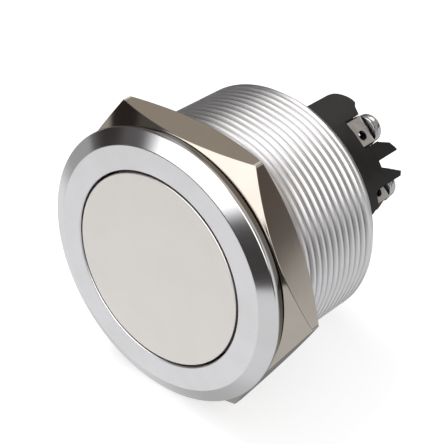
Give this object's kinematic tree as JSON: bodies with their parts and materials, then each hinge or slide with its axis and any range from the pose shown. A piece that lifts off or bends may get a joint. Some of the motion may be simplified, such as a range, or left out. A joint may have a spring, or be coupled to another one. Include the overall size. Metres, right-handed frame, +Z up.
{
  "type": "panel pushbutton switch",
  "caption": "Flush metal pushbutton switch with a chamfered bezel, threaded barrel, hex panel nut and a screw terminal contact block",
  "frame": {"origin": "on the switch's axis, at the rear face of the bezel flange, where the panel seats", "axes": "+Y along the axis towards the terminals, -Y out of the button's face, +Z up with a flat of the nut upwards, +X across"},
  "size_m": [0.0508, 0.0407, 0.045],
  "materials": {
    "housing": "turned and satin brushed, bright thread",
    "button": "fine satin blasted",
    "nut": "nickel plated, satin",
    "base": "moulded black, low sheen",
    "carrier": "moulded light grey",
    "steel": "bright drawn or turned",
    "seal": "black moulded",
    "contact": "stamped, bare",
    "terminal": "tin plated, satin",
    "screw": "bright zinc plated"
  },
  "bodies": {
    "root": {"bezel_housing": "housing", "hex_nut": "nut", "contact_base": "base", "return_spring": "steel", "panel_seal_ring": "seal", "base_seal_ring": "seal", "terminal_no_1": "terminal", "terminal_no_2": "terminal", "terminal_nc_1": "terminal", "terminal_nc_2": "terminal", "terminal_screw_1": "screw", "terminal_screw_2": "screw", "terminal_screw_3": "screw", "terminal_screw_4": "screw", "terminal_washer_1": "screw", "terminal_washer_2": "screw", "terminal_washer_3": "screw", "terminal_washer_4": "screw"},
    "button": {"button_cap": "button", "button_seal_ring": "seal", "button_stem": "steel", "stem_clip": "steel", "contact_carrier": "carrier", "no_bridge": "contact", "nc_bridge": "contact", "no_contact_spring": "steel", "nc_contact_spring": "steel"}
  },
  "joints": [
    {"name": "button_press", "type": "slide", "parent": "root", "child": "button", "axis": [0, 1, 0], "range_m": [0, 0.0025], "stiffness_N_per_m": 1000, "springref_m": -0.002, "deforming": ["return_spring"]}
  ]
}
